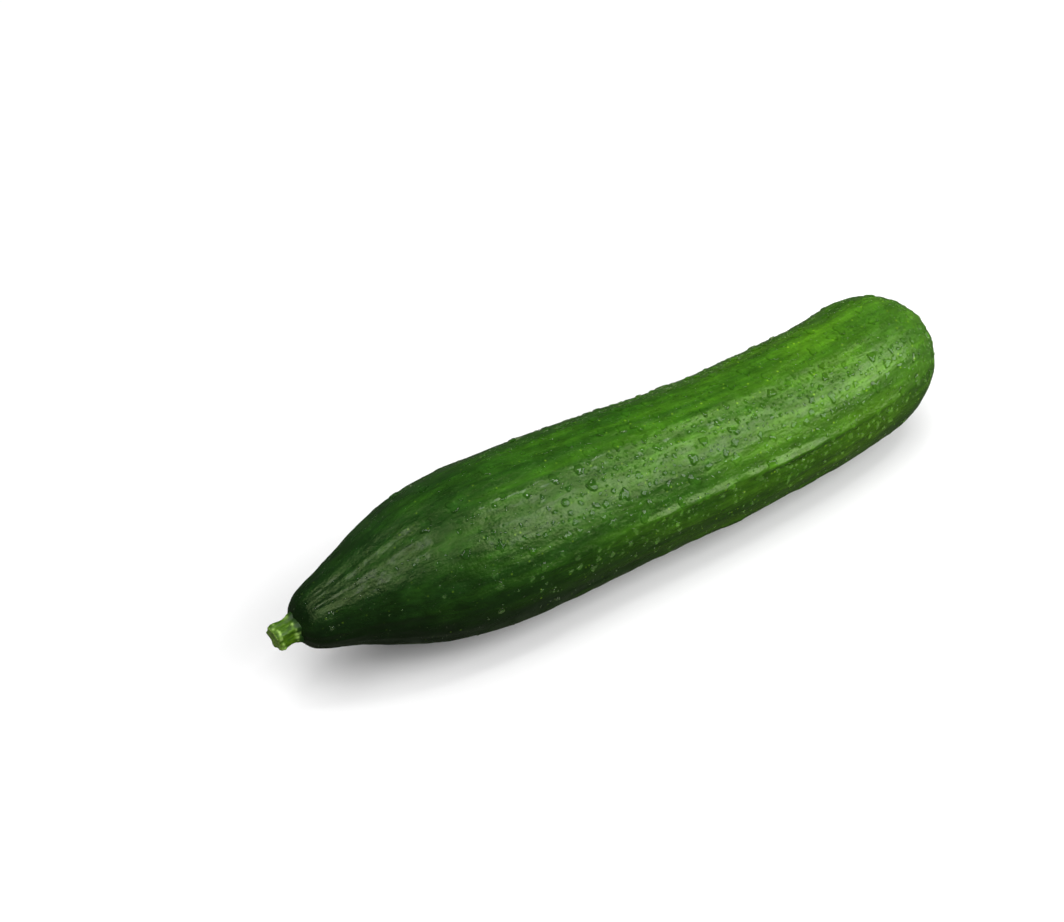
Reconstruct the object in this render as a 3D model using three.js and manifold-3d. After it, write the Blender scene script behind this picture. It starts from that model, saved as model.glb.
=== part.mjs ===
// A short smooth-skinned cucumber, picked with a stub of its stem and lying on its side.
// Millimetres, +Z up. The fruit lies along X with its stem at -X and its blossom end at +X.
// The origin is under the middle of the cucumber, on the surface that it lies on.

import * as THREE from "three";
import { mergeVertices } from "three/addons/utils/BufferGeometryUtils.js";
import Module from "manifold-3d";

const wasm = await Module();
wasm.setup();

// Driving dimensions.
const FRUIT_LENGTH = 181; // from the seat of the stem to the blossom tip
const BELLY_RADIUS = 19; // at the thickest place, about a third of the way from the stem
const BLOSSOM_RADIUS = 17.25; // where the round blossom end begins
const BLOSSOM_CAP = 22; // length of the round blossom end
const STEM_SEAT_RADIUS = 3; // the small flat end of the neck, where the stem grows on
const STEM_LENGTH = 4.8;
const STEM_RADIUS = 2.75;
const STEM_DROOP = 0.25; // how far the cut end hangs below the line of the neck
const STEM_GAP = 0.3; // clearance between the stem and its seat

// Surface relief.
const RIBS = 10; // shallow ribs along the fruit
const RIB_HEIGHT = 0.2; // crest above and groove below the mean surface
const LOBES = 3; // the three carpels make the section very slightly triangular
const LOBE_HEIGHT = 0.2;
const SCAR_RADIUS = 2.1; // the round scar that the flower leaves
const SCAR_RISE = 0.25; // the scar stands this far proud of its dimple
const DIMPLE_RADIUS = 5.5;
const DIMPLE_DEPTH = 0.7;
const STEM_RIDGES = 5;
const STEM_RIDGE_HEIGHT = 0.25;
const REST_FLAT_DEPTH = 0.35; // how far the soft underside is pressed flat where it lies

// Fineness of the solids.
const FRUIT_SEGMENTS = 60; // six to each rib
const BODY_STEPS = 44; // four between each two stations of the outline
const CAP_STEPS = 12;
const STEM_SEGMENTS = 20; // four to each ridge
const STEM_STEPS = 10;

// The outline of neck and belly: distance from the stem seat, then radius.
const bellyOutline = new THREE.SplineCurve(
  [
    [0, STEM_SEAT_RADIUS],
    [1.1, 4.75],
    [3.4, 6.6],
    [7.5, 8.1],
    [13, 10.15],
    [22, 14.1],
    [34, 17.5],
    [52, BELLY_RADIUS],
    [76, 18.5],
    [102, 17.9],
    [130, 17.5],
    [FRUIT_LENGTH - BLOSSOM_CAP, BLOSSOM_RADIUS],
  ].map(([along, radius]) => new THREE.Vector2(along, radius)),
);

// The middle line of the fruit: distance along, sideways, height. It bows sideways, and over the belly
// its height is the radius there, so that the underside lies level on the surface.
const spine = new THREE.CatmullRomCurve3(
  [
    [0, 4.3, 18.2],
    [22, 3.6, 19.1],
    [52, 1.8, 19],
    [76, 0.8, 18.5],
    [102, -0.5, 17.9],
    [130, -0.4, 17.5],
    [FRUIT_LENGTH - BLOSSOM_CAP, 2.4, 17.4],
    [FRUIT_LENGTH, 7.3, 17.7],
  ].map(([along, sideways, height]) => new THREE.Vector3(along, sideways, height)),
);

// How far the blossom tip is drawn in at a distance from the axis: a dimple with the scar in it.
function tipRelief(radius) {
  if (radius >= DIMPLE_RADIUS) return 0;
  const dimple = DIMPLE_DEPTH * Math.cos((radius / DIMPLE_RADIUS) * (Math.PI / 2)) ** 2;
  return radius <= SCAR_RADIUS ? dimple - SCAR_RISE : dimple;
}

// How far along the fruit the blossom end lies at a radius: a quarter of an ellipse, with its dimple.
function blossomReach(radius) {
  const fall = BLOSSOM_CAP * (1 - Math.sqrt(1 - (radius / BLOSSOM_RADIUS) ** 2));
  return FRUIT_LENGTH - fall - tipRelief(radius);
}

// The whole outline of the fruit as a lathe profile, x the radius and y the distance along.
function fruitProfile() {
  const belly = bellyOutline.getPoints(BODY_STEPS).map((p) => new THREE.Vector2(p.y, p.x));
  const radii = [];
  for (let step = 1; step < CAP_STEPS; step++) {
    radii.push(BLOSSOM_RADIUS * Math.cos((step / CAP_STEPS) * (Math.PI / 2)));
  }
  const capRadii = radii.filter((radius) => radius > 4);
  const tipRadii = [2.9, SCAR_RADIUS + 0.2, SCAR_RADIUS - 0.1, 0];
  const blossomEnd = [...capRadii, ...tipRadii].map((r) => new THREE.Vector2(r, blossomReach(r)));
  return [new THREE.Vector2(0, 0), ...belly, ...blossomEnd];
}

// Relief of the skin round the fruit, as a share of how full the section is there.
function fruitRelief(angle, radius) {
  const fullness = Math.min(1, radius / BLOSSOM_RADIUS) ** 2;
  const ribs = -RIB_HEIGHT * Math.cos(RIBS * angle); // a crest runs along the very bottom
  const lobes = LOBE_HEIGHT * Math.cos(LOBES * angle);
  return fullness * (ribs + lobes);
}

function stemProfile() {
  return [
    [0, 0],
    [STEM_RADIUS + 0.15, 0],
    [STEM_RADIUS - 0.15, STEM_LENGTH * 0.2],
    [STEM_RADIUS - 0.2, STEM_LENGTH * 0.4],
    [STEM_RADIUS, STEM_LENGTH * 0.65],
    [STEM_RADIUS - 0.05, STEM_LENGTH * 0.85],
    [STEM_RADIUS - 0.5, STEM_LENGTH * 0.96],
    [STEM_RADIUS - 1.2, STEM_LENGTH],
    [0, STEM_LENGTH * 0.97],
  ].map(([radius, along]) => new THREE.Vector2(radius, along));
}

// Turns a lathe's straight body, with its axis along Y, to follow a curve of the given length.
// relief moves each vertex out along its own radius.
function bendAlong(geometry, curve, length, relief) {
  const position = geometry.getAttribute("position");
  const vertex = new THREE.Vector3();
  const up = new THREE.Vector3(0, 0, 1);
  for (let i = 0; i < position.count; i++) {
    vertex.fromBufferAttribute(position, i);
    const share = THREE.MathUtils.clamp(vertex.y / length, 0, 1);
    const tangent = curve.getTangentAt(share);
    const side = new THREE.Vector3().crossVectors(tangent, up).normalize();
    const top = new THREE.Vector3().crossVectors(side, tangent);
    const radius = Math.hypot(vertex.x, vertex.z);
    const angle = Math.atan2(vertex.z, vertex.x);
    const out = radius > 0 ? radius + relief(angle, radius) : 0;
    const place = curve.getPointAt(share);
    place.addScaledVector(side, out * Math.cos(angle));
    place.addScaledVector(top, out * Math.sin(angle));
    position.setXYZ(i, place.x, place.y, place.z);
  }
  geometry.deleteAttribute("normal");
  geometry.deleteAttribute("uv");
  return mergeVertices(geometry, 1e-3);
}

function toManifold(geometry) {
  const merged = mergeVertices(geometry, 1e-3);
  return new wasm.Manifold(
    new wasm.Mesh({
      numProp: 3,
      vertProperties: merged.getAttribute("position").array,
      triVerts: new Uint32Array(merged.index.array),
    }),
  );
}

function toGeometry(manifold) {
  const mesh = manifold.getMesh();
  return new THREE.BufferGeometry()
    .setAttribute("position", new THREE.BufferAttribute(mesh.vertProperties, 3))
    .setIndex(new THREE.BufferAttribute(mesh.triVerts, 1));
}

// Takes off what lies below the height of the surface, which leaves the flat that the fruit lies on.
function pressedFlat(geometry, height) {
  const below = new THREE.BoxGeometry(2 * FRUIT_LENGTH, 4 * BELLY_RADIUS, 2 * BELLY_RADIUS);
  below.translate(0, 0, height - BELLY_RADIUS);
  below.deleteAttribute("normal");
  below.deleteAttribute("uv");
  return toGeometry(toManifold(geometry).subtract(toManifold(below)));
}

function makeFruit() {
  const lathe = new THREE.LatheGeometry(fruitProfile(), FRUIT_SEGMENTS);
  const bent = bendAlong(lathe, spine, FRUIT_LENGTH, fruitRelief);
  bent.computeBoundingBox();
  const pressed = pressedFlat(bent, bent.boundingBox.min.z + REST_FLAT_DEPTH);
  pressed.computeVertexNormals();
  const skin = new THREE.MeshStandardMaterial({ color: 0x2f6418, roughness: 0.3, metalness: 0 });
  const fruit = new THREE.Mesh(pressed, skin);
  fruit.name = "fruit";
  return fruit;
}

// The stem carries on from the neck, and droops a little towards its cut end.
function makeStem() {
  const seat = spine.getPoint(0);
  const outward = spine.getTangent(0).negate();
  const reach = (share, droop) => {
    const place = seat.clone().addScaledVector(outward, STEM_GAP + share * STEM_LENGTH);
    place.z -= droop;
    return place;
  };
  const line = new THREE.CatmullRomCurve3([reach(0, 0), reach(0.5, 0.25 * STEM_DROOP), reach(1, STEM_DROOP)]);
  const ridges = (angle, radius) =>
    Math.min(1, radius / STEM_RADIUS) * STEM_RIDGE_HEIGHT * Math.cos(STEM_RIDGES * angle);
  const outline = new THREE.SplineCurve(stemProfile().slice(1, -1)).getPoints(STEM_STEPS);
  const profile = [new THREE.Vector2(0, 0), ...outline, stemProfile().at(-1)];
  const bent = bendAlong(new THREE.LatheGeometry(profile, STEM_SEGMENTS), line, STEM_LENGTH, ridges);
  bent.computeVertexNormals();
  const green = new THREE.MeshStandardMaterial({ color: 0x6f9b3a, roughness: 0.6, metalness: 0 });
  const stem = new THREE.Mesh(bent, green);
  stem.name = "stem";
  return stem;
}

const cucumber = new THREE.Group();
cucumber.add(makeFruit(), makeStem());

// Brings the origin under the middle of the whole cucumber, on the surface that it lies on.
const extent = new THREE.Box3().setFromObject(cucumber);
const middle = extent.getCenter(new THREE.Vector3());
cucumber.position.set(-middle.x, -middle.y, -extent.min.z);

export default cucumber;
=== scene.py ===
# %% [markdown]
# # A wet cucumber on a pale table
#
# This notebook dresses the plain solids of one short cucumber as the real thing: a ribbed and
# waxy green skin, a stub of stem, a pale scar where the flower was, and water drops all over.
# The solids give the size and the place, and everything here is made around them, in metres.

# %% Load the solids
import math
import bpy
import numpy as np
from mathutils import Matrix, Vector
from mathutils.bvhtree import BVHTree


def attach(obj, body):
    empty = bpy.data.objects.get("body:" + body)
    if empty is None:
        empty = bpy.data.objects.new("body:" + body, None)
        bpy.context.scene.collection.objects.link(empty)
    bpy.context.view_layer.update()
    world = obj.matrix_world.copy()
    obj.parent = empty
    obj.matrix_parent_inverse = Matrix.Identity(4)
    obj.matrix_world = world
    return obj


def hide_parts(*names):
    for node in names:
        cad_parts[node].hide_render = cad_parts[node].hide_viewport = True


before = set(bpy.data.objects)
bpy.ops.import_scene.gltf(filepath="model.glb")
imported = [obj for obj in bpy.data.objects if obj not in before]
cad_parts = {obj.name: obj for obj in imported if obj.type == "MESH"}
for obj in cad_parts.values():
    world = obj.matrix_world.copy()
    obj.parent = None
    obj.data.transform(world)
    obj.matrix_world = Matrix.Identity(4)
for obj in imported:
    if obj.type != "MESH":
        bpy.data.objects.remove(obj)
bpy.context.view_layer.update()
MM = 0.001  # one millimetre in metres

# %% [markdown]
# ## The camera
#
# The camera looks down on the cucumber from its stem side, from about half a metre away, so the
# stem end is nearer and larger than the blossom end. A lens a little longer than normal keeps
# that difference gentle. It is aimed at a point behind the fruit, which sets the fruit low and
# to the right of the middle.

# %% Camera
CAMERA_AZIMUTH = math.radians(-36.57)
CAMERA_ELEVATION = math.radians(38)
CAMERA_DISTANCE = 460 * MM
CAMERA_LENS = 67.5  # mm, on a sensor 36 mm wide
AIM_POINT = Vector((-14.54, 19.26, 18)) * MM

camera = bpy.data.objects.new("camera", bpy.data.cameras.new("camera"))
bpy.context.scene.collection.objects.link(camera)
toward_camera = Vector((
    math.sin(CAMERA_AZIMUTH) * math.cos(CAMERA_ELEVATION),
    -math.cos(CAMERA_AZIMUTH) * math.cos(CAMERA_ELEVATION),
    math.sin(CAMERA_ELEVATION),
))
camera.location = AIM_POINT + CAMERA_DISTANCE * toward_camera
camera.rotation_mode = "QUATERNION"
camera.rotation_quaternion = (-toward_camera).to_track_quat("-Z", "Y")
camera.data.lens = CAMERA_LENS
camera.data.sensor_width = 36
camera.data.clip_start = 10 * MM
bpy.context.scene.camera = camera
print("camera at", [round(v, 3) for v in camera.location])

# %% [markdown]
# ## Small helpers
#
# One function turns a colour into linear light, one adds a material node with its settings and
# links, and two start a material and a mesh object. Everything after this is built with them.

# %% Colours
def linear(hex_colour):
    """An sRGB hex colour as linear red, green, blue and alpha."""
    channels = [int(hex_colour[i:i + 2], 16) / 255 for i in (1, 3, 5)]
    return [c / 12.92 if c <= 0.04045 else ((c + 0.055) / 1.055) ** 2.4 for c in channels] + [1]


print("middle grey in linear light is", round(linear("#808080")[0], 3))


# %% Nodes and materials
def add_node(tree, kind, settings=None, **inputs):
    """Adds a node. Each input is a number, a colour or another node's output."""
    node = tree.nodes.new(kind)
    for name, value in (settings or {}).items():
        if name == "stops":  # a colour ramp's places and colours
            ramp = node.color_ramp.elements
            while len(ramp) < len(value):
                ramp.new(0.5)
            for stop, (place, colour) in zip(ramp, value):
                stop.position, stop.color = place, colour
        else:
            setattr(node, name, value)
    for name, value in inputs.items():
        numbered = name[1:].isdigit()
        socket = node.inputs[int(name[1:])] if numbered else node.inputs[name.replace("_", " ")]
        if isinstance(value, bpy.types.NodeSocket):
            tree.links.new(value, socket)
        else:
            socket.default_value = value
    return node


def new_material(name):
    """An empty node material, its tree and its surface socket."""
    material = bpy.data.materials.new(name)
    material.use_nodes = True
    material.node_tree.nodes.clear()
    output = material.node_tree.nodes.new("ShaderNodeOutputMaterial")
    return material, material.node_tree, output.inputs["Surface"]


# %% Meshes
def make_mesh(name, points, faces, smooth=True):
    """A mesh object from points in metres and faces as lists of point numbers."""
    mesh = bpy.data.meshes.new(name)
    mesh.from_pydata([tuple(p) for p in points], [], [tuple(f) for f in faces])
    mesh.polygons.foreach_set("use_smooth", [smooth] * len(mesh.polygons))
    if sum(f.center.dot(f.normal) * f.area for f in mesh.polygons) < 0:  # inside out
        mesh.flip_normals()
    piece = bpy.data.objects.new(name, mesh)
    bpy.context.scene.collection.objects.link(piece)
    return piece


# %% [markdown]
# ## The table
#
# The fruit lies on a table top of white laminate, which is paper pressed in clear resin and
# looks satin. One large flat square is enough, because its edge is never seen. Wet skin would
# mirror so bright a table all along its lower side. A studio keeps that away with black card.
# Here the table is left out of what the skin mirrors and of the light that it would throw up,
# so that the lower side stays deep green.

# %% Table
TABLE_HALF = 3.0  # metres
corners = [(x * TABLE_HALF, y * TABLE_HALF, 0) for x, y in ((-1, -1), (1, -1), (1, 1), (-1, 1))]
table = make_mesh("table", corners, [(0, 1, 2, 3)], smooth=False)
white_laminate, tree, surface = new_material("white_laminate")
laminate = add_node(tree, "ShaderNodeBsdfPrincipled", Base_Color=linear("#eeeeee"), Roughness=0.6)
tree.links.new(laminate.outputs[0], surface)
table.data.materials.append(white_laminate)
table.visible_glossy = False
table.visible_diffuse = False
print("table", 2 * TABLE_HALF, "m square")

# %% [markdown]
# ## The room
#
# The room is dim. It could be one flat grey, but wet skin shows what is round it, so the room
# tells two kinds of ray apart. On dull surfaces it casts a white light, stronger from above.
# What the wet skin mirrors is darker, and a little green, as if other fruit lay all round.

# %% Room
ROOM_CAST = (0.12, 0.26)  # what it casts on dull surfaces, from below and from above
ROOM_MIRRORED = (0.11, 0.035)  # what the wet skin mirrors, likewise
room = bpy.data.worlds.new("room")
room.use_nodes = True
direction = add_node(room.node_tree, "ShaderNodeTexCoord").outputs["Generated"]
height_of = add_node(room.node_tree, "ShaderNodeSeparateXYZ", Vector=direction)
cast = add_node(room.node_tree, "ShaderNodeMapRange", Value=height_of.outputs["Z"], From_Min=-0.1,
                From_Max=0.25, To_Min=ROOM_CAST[0], To_Max=ROOM_CAST[1])
mirrored = add_node(room.node_tree, "ShaderNodeMapRange", Value=height_of.outputs["Z"], From_Min=-0.15,
                    From_Max=0.2, To_Min=ROOM_MIRRORED[0], To_Max=ROOM_MIRRORED[1])
kind = add_node(room.node_tree, "ShaderNodeLightPath")
strength = add_node(room.node_tree, "ShaderNodeMapRange", Value=kind.outputs["Is Glossy Ray"],
                    To_Min=cast.outputs[0], To_Max=mirrored.outputs[0])
tint = add_node(room.node_tree, "ShaderNodeMix", {"data_type": "RGBA"}, _0=kind.outputs["Is Glossy Ray"],
                _6=linear("#ffffff"), _7=linear("#c6d8b8"))
background = room.node_tree.nodes["Background"]
room.node_tree.links.new(tint.outputs[2], background.inputs["Color"])
room.node_tree.links.new(strength.outputs[0], background.inputs["Strength"])
bpy.context.scene.world = room
bpy.context.scene.view_settings.view_transform = "Standard"
print("room casts", ROOM_CAST, "and shows in the skin as", ROOM_MIRRORED)

# %% [markdown]
# ## The lamps
#
# Each pale patch on wet skin is the mirror image of something bright, so the lamps are soft
# boxes, placed where the skin mirrors them to the camera. The long front box gives the broad
# band along the belly, and the neck box gives the separate highlight on the neck. A narrow
# bright strip gives the glints in the drops. Two more boxes, one over and behind the fruit and
# one low in front, light it without being mirrored. Light already reaches the skin through the
# water by way of the water's own material. So no lamp is seen from inside a drop, because that
# would count its light twice.

# %% Lamps
LAMPS = [  # name, centre in metres, length, width, radiance, and whether the skin mirrors it
    ("front_box", (0.92, -0.64, 0.64), 1.4, 0.72, 4.0, True),
    ("neck_box", (-0.42, -0.18, 0.85), 0.42, 0.62, 3.8, True),
    ("glint_strip", (0.42, -0.12, 0.88), 0.28, 0.1, 13.0, True),
    ("top_fill", (0.1, 0.32, 0.92), 1.0, 0.9, 2.0, False),
    ("front_fill", (0.15, -0.7, 0.5), 1.2, 0.6, 1.7, False)]


def soft_box(name, centre, length, width, radiance, is_mirrored):
    """A rectangular lamp, long in X, turned about its length to face the fruit."""
    lamp = bpy.data.objects.new(name, bpy.data.lights.new(name, "AREA"))
    bpy.context.scene.collection.objects.link(lamp)
    lamp.location = centre
    lamp.rotation_euler = (math.atan2(-centre[1], centre[2]), 0, 0)
    lamp.data.shape = "RECTANGLE"
    lamp.data.size = length
    lamp.data.size_y = width
    lamp.data.energy = radiance * math.pi * length * width
    lamp.visible_transmission = False
    lamp.visible_glossy = is_mirrored


for lamp_values in LAMPS:
    soft_box(*lamp_values)

# %% [markdown]
# ## The shape of the fruit
#
# The fruit could be sculpted by hand, but a cucumber is close to a turned body, so it is drawn
# as a lathe profile first: a radius for each distance from the stem. The profile is then bent
# along the middle line of the solid, which bows sideways. A smooth curve through a few measured
# stations keeps the wet reflections on the skin calm.

# %% Smooth lines
def smooth_line(xs, ys):
    """A natural cubic spline through the given points, as a function of x."""
    x, y = np.array(xs, float), np.array(ys, float)
    h = np.diff(x)
    matrix, right = np.eye(len(x)), np.zeros(len(x))
    for i in range(1, len(x) - 1):
        matrix[i, i - 1:i + 2] = h[i - 1], 2 * (h[i - 1] + h[i]), h[i]
        right[i] = 6 * ((y[i + 1] - y[i]) / h[i] - (y[i] - y[i - 1]) / h[i - 1])
    bend = np.linalg.solve(matrix, right)

    def at(t):
        t = np.asarray(t, float)
        i = np.clip(np.searchsorted(x, t) - 1, 0, len(x) - 2)
        a, b = (x[i + 1] - t) / h[i], (t - x[i]) / h[i]
        curve = (a ** 3 - a) * bend[i] + (b ** 3 - b) * bend[i + 1]
        return a * y[i] + b * y[i + 1] + curve * h[i] ** 2 / 6
    return at


# %% Profile and middle line
FRUIT_LENGTH = 181.0  # mm, from the seat of the stem to the blossom tip
CAP_LENGTH = 22.0  # mm, the round blossom end
CAP_START = FRUIT_LENGTH - CAP_LENGTH
CAP_RADIUS = 17.25  # mm, where the blossom end begins
SEAT_RADIUS = 3.0  # mm, the flat end of the neck that the stem grows on
LINE_START = np.array([-87.961, -1.018, -0.048])  # mm, where the solids' measured line begins

belly_radius = smooth_line([0, 1.1, 3.4, 7.5, 13, 22, 34, 52, 76, 102, 130, CAP_START],
                           [SEAT_RADIUS, 4.75, 6.6, 8.1, 10.15, 14.1, 17.5, 19, 18.5, 17.9, 17.5, CAP_RADIUS])
middle_stations = [0, 22, 52, 76, 102, 130, CAP_START, FRUIT_LENGTH]
middle_sideways = smooth_line(middle_stations, [4.3, 3.6, 1.8, 0.8, -0.5, -0.4, 2.4, 7.3])
middle_height = smooth_line(middle_stations, [18.2, 19.1, 19, 18.5, 17.9, 17.5, 17.4, 17.7])
print("radius at 20, 60 and 140 mm:", [round(float(belly_radius(s)), 1) for s in (20, 60, 140)])


# %% Rows of points
def spaced(start, end, first_step, step):
    """Distances from start to end whose steps grow from first_step to step."""
    growth = 1.06
    places = [start]
    grow = first_step
    while places[-1] + grow < end:
        places.append(places[-1] + grow)
        grow = min(step, grow * growth)
    places = np.array(places)
    return start + (places - start) * (end - start) / (places[-1] - start)


COLUMNS = 222  # points round the fruit, about half a millimetre apart like the rows
seat_rows = [(0.0, r) for r in np.linspace(0.4, SEAT_RADIUS, 6)[:-1]]
belly_rows = [(s, float(belly_radius(s))) for s in spaced(0, CAP_START, 0.2, 0.462)]
cap_turns = np.pi / 2 - np.radians(spaced(0, 90, 0.7, 1.45))[::-1]
cap_rows = [(CAP_START + CAP_LENGTH * math.sin(t), CAP_RADIUS * math.cos(t)) for t in cap_turns[1:-1]]
rows = np.array(seat_rows + belly_rows + cap_rows)
along, mean_radius = rows[:, 0], rows[:, 1]
skin_way = np.concatenate([[0], np.cumsum(np.hypot(np.diff(along), np.diff(mean_radius)))])
print(len(rows), "rows of", COLUMNS, "points;", round(skin_way[-1], 1), "mm over the skin")

# %% [markdown]
# ## Ribs and ridges
#
# A cucumber's skin isn't a smooth tube. Ten low ribs run along it, some with a fine broken
# keel, and between them lie weaker ridges. All of this could be painted as bump, but the
# outline and the wet light show it, so it is real shape: a height in millimetres for every
# point of the skin, added along the surface's normal. Angles round the fruit start at its front
# side and go up over the top. Nothing that grew is regular, so the heights come and go by a
# sum of random waves.

# %% Grid of the skin
theta = np.linspace(0, 2 * np.pi, COLUMNS, endpoint=False)
ROW_ALONG, THETA = np.meshgrid(along, theta, indexing="ij")
from_tip = (skin_way[-1] - skin_way)[:, None]
print("grid", THETA.shape)


# %% Ripples and humps
def ripples(around_mm, along_mm, seed, waves=36):
    """Smooth random unevenness with unit spread, for the whole skin. It joins up all round."""
    belly_mm, spread = 18, 1.5
    random = np.random.default_rng(seed)
    field = np.zeros_like(THETA)
    for _ in range(waves):
        turns = round(random.normal(0, 2 * np.pi * belly_mm / around_mm / spread))
        pitch = random.normal(0, 2 * np.pi / along_mm / spread)
        field += np.cos(turns * THETA + pitch * ROW_ALONG + random.uniform(0, 2 * np.pi))
    return field * math.sqrt(2 / waves)


def around_from(angle):
    """Signed angle from a rib to each point, between minus and plus pi."""
    return (THETA - angle + np.pi) % (2 * np.pi) - np.pi


def bell(distance, half_width):
    """A smooth hump of height one."""
    return np.exp(-(distance / half_width) ** 2)


# %% Ribs
RIBS = [  # angle and half width in degrees, then the heights in mm of the rib and of its keel
    (14, 5, 0.22, 0.62), (46, 11, 0.26, 0.06), (72, 5.5, 0.26, 0.14), (104, 8, 0.26, 0.05),
    (142, 9, 0.26, 0.05), (178, 6, 0.22, 0.2), (214, 9, 0.26, 0.1), (251, 8, 0.25, 0.1),
    (290, 8, 0.25, 0.12), (330, 6, 0.24, 0.26)]
KEEL_HALF_WIDTH = np.radians(2.7)
twist = np.radians(-10) * np.exp(-ROW_ALONG / 32) + np.radians(1.5) * ripples(400, 90, 3)
rib_strength = np.interp(ROW_ALONG, [0, 6, 20, 45, 110, 150, 172, 180],
                         [0.5, 0.8, 0.9, 1.0, 1.0, 0.8, 0.35, 0.1])
keel_strength = np.interp(ROW_ALONG, [58, 82, 125, 150, 166], [0.12, 1.0, 1.0, 0.4, 0.0])
height = np.zeros_like(THETA)
for number, (angle, half_width, rib, keel) in enumerate(RIBS):
    away = around_from(np.radians(angle) + twist)
    height += rib * rib_strength * bell(away, np.radians(half_width))
    broken = np.clip(0.7 + 0.65 * ripples(200, 16, 20 + number, 18), 0, 1.5)
    height += keel * broken * keel_strength * bell(away, KEEL_HALF_WIDTH)
print("ribs up to", round(height.max(), 2), "mm high")

# %% Ridges between the ribs
RIDGES = [27, 36, 58, 64, 86, 95, 122, 131, 160, 168, 196, 203, 232, 240, 270, 277, 308, 316, 346, 356]
RIDGE_HALF_WIDTH = np.radians(2.6)
SET_IN = 0.16  # mm that the skin is set in, so that its crests stand out less
for number, angle in enumerate(RIDGES):
    away = around_from(np.radians(angle) + twist + np.radians(1.5) * ripples(400, 40, 50 + number, 12))
    broken = np.clip(0.5 + 0.7 * ripples(200, 30, 70 + number, 18), 0, 1.8)
    rise = 0.05 if 100 < angle < 260 else 0.1  # lower at the back
    height += rise * broken * rib_strength * bell(away, RIDGE_HALF_WIDTH)
height -= height.mean(axis=1, keepdims=True) + SET_IN
print(len(RIBS), "ribs and", len(RIDGES), "ridges")

# %% [markdown]
# ## Lumps, warts and the flower scar
#
# Between the ribs the skin is uneven at three scales: broad lumps, dents of a few millimetres
# and a fine grain. Inside are three seed chambers, which make the section a little three-sided.
# Small warts stand where the spines of the young fruit were. At the far end the flower has left
# a round scar in a shallow dimple, with faint flutes running out from it. A sculpting brush
# could do this too, but formulas and a counted scatter come out the same on every run.

# %% Lumps, dents and grain
broad_lumps = 0.1 * ripples(26, 30, 5)
small_dents = 0.045 * ripples(6, 9, 6)
fine_grain = 0.018 * ripples(2.2, 3, 7, 60)
height += broad_lumps + small_dents + fine_grain
height *= np.clip(mean_radius / 9, 0.15, 1)[:, None] ** 0.8  # the narrow neck is smoother
height += 0.12 * np.cos(3 * THETA + 0.6) * np.clip(mean_radius / CAP_RADIUS, 0, 1)[:, None] ** 2
print("unevenness from", round(height.min(), 2), "to", round(height.max(), 2), "mm")

# %% Warts
WART_COUNT = 420
warts = np.random.default_rng(11)
for _ in range(WART_COUNT):
    place, angle = warts.uniform(6, 176), warts.uniform(0, 2 * np.pi)
    radius, rise = warts.uniform(0.6, 1.2), warts.uniform(0.03, 0.1)  # mm
    first, last = np.searchsorted(along, [place - 3 * radius, place + 3 * radius])
    part = slice(first, max(last, first + 1))
    across = around_from(angle)[part] * mean_radius[part, None]
    height[part] += rise * bell(np.hypot(ROW_ALONG[part] - place, across), radius)
print(WART_COUNT, "warts")

# %% Flower scar
SCAR_RADIUS = 2.15  # mm, like the next three
SCAR_RISE = 0.3
DIMPLE_RADIUS = 6
DIMPLE_DEPTH = 0.75
dimple = -DIMPLE_DEPTH * np.cos(np.clip(from_tip / DIMPLE_RADIUS, 0, 1) * np.pi / 2) ** 2
scar_edge = SCAR_RADIUS + 0.16 * np.cos(9 * THETA + 1.0) + 0.1 * np.cos(5 * THETA)
scar = 1 / (1 + np.exp(np.clip((from_tip - scar_edge) / 0.12, -50, 50)))
flutes = 0.07 * np.cos(13 * THETA + 0.8 * np.sin(3 * THETA)) + 0.04 * np.cos(29 * THETA)
height += dimple + SCAR_RISE * scar + flutes * bell(from_tip - 8, 5) * (from_tip > 2)
print("skin height", round(height.min(), 2), "to", round(height.max(), 2), "mm")

# %% [markdown]
# ## Bending the skin and laying it on the table
#
# Each ring of points is set square to the middle line, which starts where the solid's starts.
# The soft underside is pressed flat where it lies, and the distance from the skin to the solid
# is measured as a check.

# %% Rings of points
def bend(at_along, at_angle, at_radius):
    """Points in mm round the middle line, at a distance along it, an angle and a radius."""
    step = 0.05
    ahead = np.stack([np.full_like(at_along, 2 * step),
                      middle_sideways(at_along + step) - middle_sideways(at_along - step),
                      middle_height(at_along + step) - middle_height(at_along - step)], axis=-1)
    ahead /= np.linalg.norm(ahead, axis=-1, keepdims=True)
    side = np.cross(ahead, [0.0, 0.0, 1.0])
    side /= np.linalg.norm(side, axis=-1, keepdims=True)
    top = np.cross(side, ahead)
    middle = np.stack([at_along, middle_sideways(at_along), middle_height(at_along)], axis=-1)
    turn = np.cos(at_angle)[..., None] * side + np.sin(at_angle)[..., None] * top
    return LINE_START + middle + at_radius[..., None] * turn


def grid_normals(points):
    """Outward unit normals of a grid of points whose columns join up round the fruit."""
    lengthwise = np.gradient(points, axis=0)
    round_about = np.roll(points, -1, axis=1) - np.roll(points, 1, axis=1)
    normals = np.cross(lengthwise, round_about)
    normals /= np.maximum(np.linalg.norm(normals, axis=-1, keepdims=True), 1e-12)
    outward = (normals * (points - points.mean(axis=1, keepdims=True))).sum() > 0
    return normals if outward else -normals


def ringed_skin(name, rings, start, end):
    """A closed mesh over rings of points in mm, with a point at each end."""
    row_count, columns = rings.shape[:2]
    last = row_count * columns
    faces = []
    for column in range(columns):
        after = (column + 1) % columns
        for row in range(row_count - 1):
            a, b = row * columns + column, row * columns + after
            faces.append((a, a + columns, b + columns, b))
        faces.append((last, column, after))
        faces.append((last + 1, last - columns + after, last - columns + column))
    return make_mesh(name, np.concatenate([rings.reshape(-1, 3), [start], [end]]) * MM, faces)


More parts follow.
